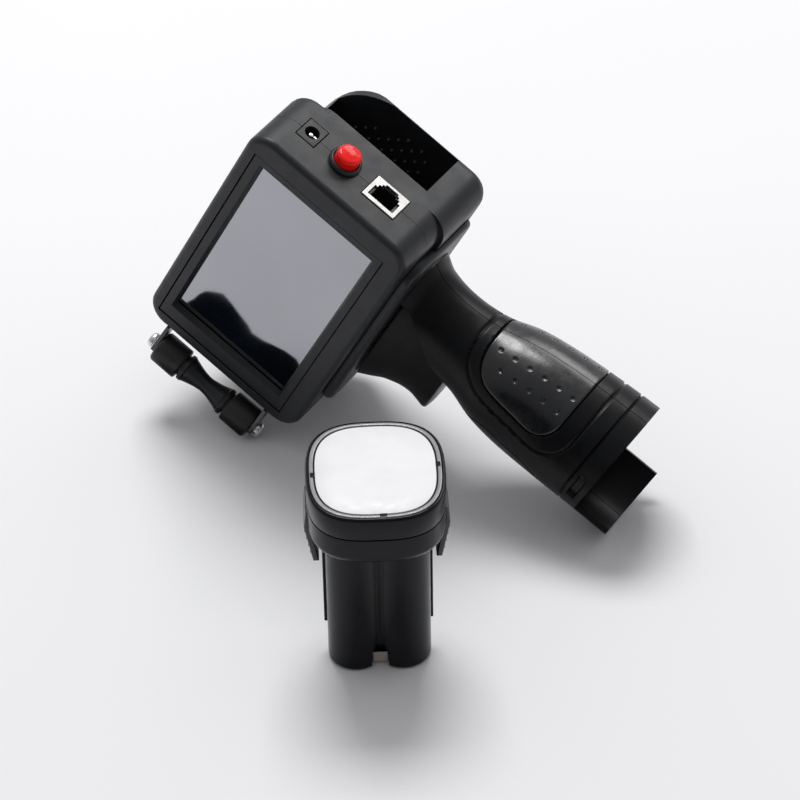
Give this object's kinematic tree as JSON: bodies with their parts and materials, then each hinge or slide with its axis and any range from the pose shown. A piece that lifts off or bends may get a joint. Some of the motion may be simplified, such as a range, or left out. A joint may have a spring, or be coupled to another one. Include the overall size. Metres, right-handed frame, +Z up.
{
  "type": "handheld inkjet printer",
  "caption": "Handheld date code inkjet printer with touch screen, guide roller, cartridge bay and trigger grip, its battery standing beside it.",
  "frame": {"origin": "on the floor plane, under the middle of the whole object's footprint", "axes": "+X along the floor from the printing head towards the end of the grip, -Y the side the screen faces, +Z up"},
  "size_m": [0.2152, 0.172, 0.1534],
  "materials": {
    "shell_black": "matte",
    "soft_black": "matte",
    "glass_black": "gloss",
    "lcd_grey": "satin",
    "board_green": "matte",
    "steel": "satin",
    "button_red": "gloss",
    "contact_brass": "satin",
    "label_grey": "satin",
    "rim_grey": "satin",
    "cell_blue": "satin",
    "insert_black": "matte"
  },
  "bodies": {
    "printer": {"axle_screw_lower": "steel", "axle_screw_upper": "steel", "bezel_shell": "shell_black", "bracket_lower": "steel", "bracket_upper": "steel", "button_collar": "shell_black", "contact_block": "insert_black", "contact_pads": "contact_brass", "cover_screw_1": "steel", "cover_screw_2": "steel", "cover_screw_3": "steel", "cover_screw_4": "steel", "dc_jack": "shell_black", "dc_pin": "steel", "grip_flange": "shell_black", "grip_left": "shell_black", "grip_right": "shell_black", "lcd_module": "lcd_grey", "main_board": "board_green", "nose_plate": "steel", "pad_left": "soft_black", "pad_right": "soft_black", "print_nose": "shell_black", "print_sensor": "glass_black", "rear_shell": "shell_black", "rj45_contacts": "contact_brass", "rj45_insert": "insert_black", "rj45_shield": "steel", "roller_axle": "steel", "screen_frame": "shell_black", "screen_glass": "glass_black", "side_cover": "shell_black", "terminal_1": "contact_brass", "terminal_2": "contact_brass", "terminal_3": "contact_brass", "terminal_block": "insert_black", "trigger_switch": "insert_black"},
    "trigger": {"trigger": "shell_black"},
    "power_button": {"power_button": "button_red"},
    "roller": {"wheel_upper": "soft_black", "wheel_lower": "soft_black", "roller_hub": "shell_black"},
    "battery": {"battery_body": "shell_black", "battery_collar": "shell_black", "battery_cap": "shell_black", "cap_rim": "rim_grey", "battery_label": "label_grey", "battery_contact": "contact_brass", "cell_1": "cell_blue", "cell_2": "cell_blue", "cell_3": "cell_blue"},
    "latch_left": {"latch_left": "shell_black"},
    "latch_right": {"latch_right": "shell_black"}
  },
  "joints": [
    {"name": "trigger_pull", "type": "slide", "parent": "printer", "child": "trigger", "axis": [0.4758, 0, 0.8795], "range_m": [0, 0.004], "stiffness_N_per_m": 900},
    {"name": "power_press", "type": "slide", "parent": "printer", "child": "power_button", "axis": [-0.4758, 0, -0.8795], "range_m": [0, 0.0022], "stiffness_N_per_m": 900},
    {"name": "roller_spin", "type": "hinge", "parent": "printer", "child": "roller", "pos_m": [-0.10222, 0.02379, 0.03004], "axis": [0.8795, 0, -0.4758], "continuous": true},
    {"name": "battery_lift", "type": "slide", "parent": "printer", "child": "battery", "axis": [0, 0, 1], "range_m": [0, 0.12]},
    {"name": "latch_left_press", "type": "hinge", "parent": "battery", "child": "latch_left", "pos_m": [0.0307, -0.0699, 0.0739], "axis": [0.5592, -0.829, 0], "range_deg": [0, 2.5], "stiffness_Nm_per_rad": 1.5},
    {"name": "latch_right_press", "type": "hinge", "parent": "battery", "child": "latch_right", "pos_m": [0.07398, -0.04072, 0.0739], "axis": [-0.5592, 0.829, 0], "range_deg": [0, 2.5], "stiffness_Nm_per_rad": 1.5}
  ]
}
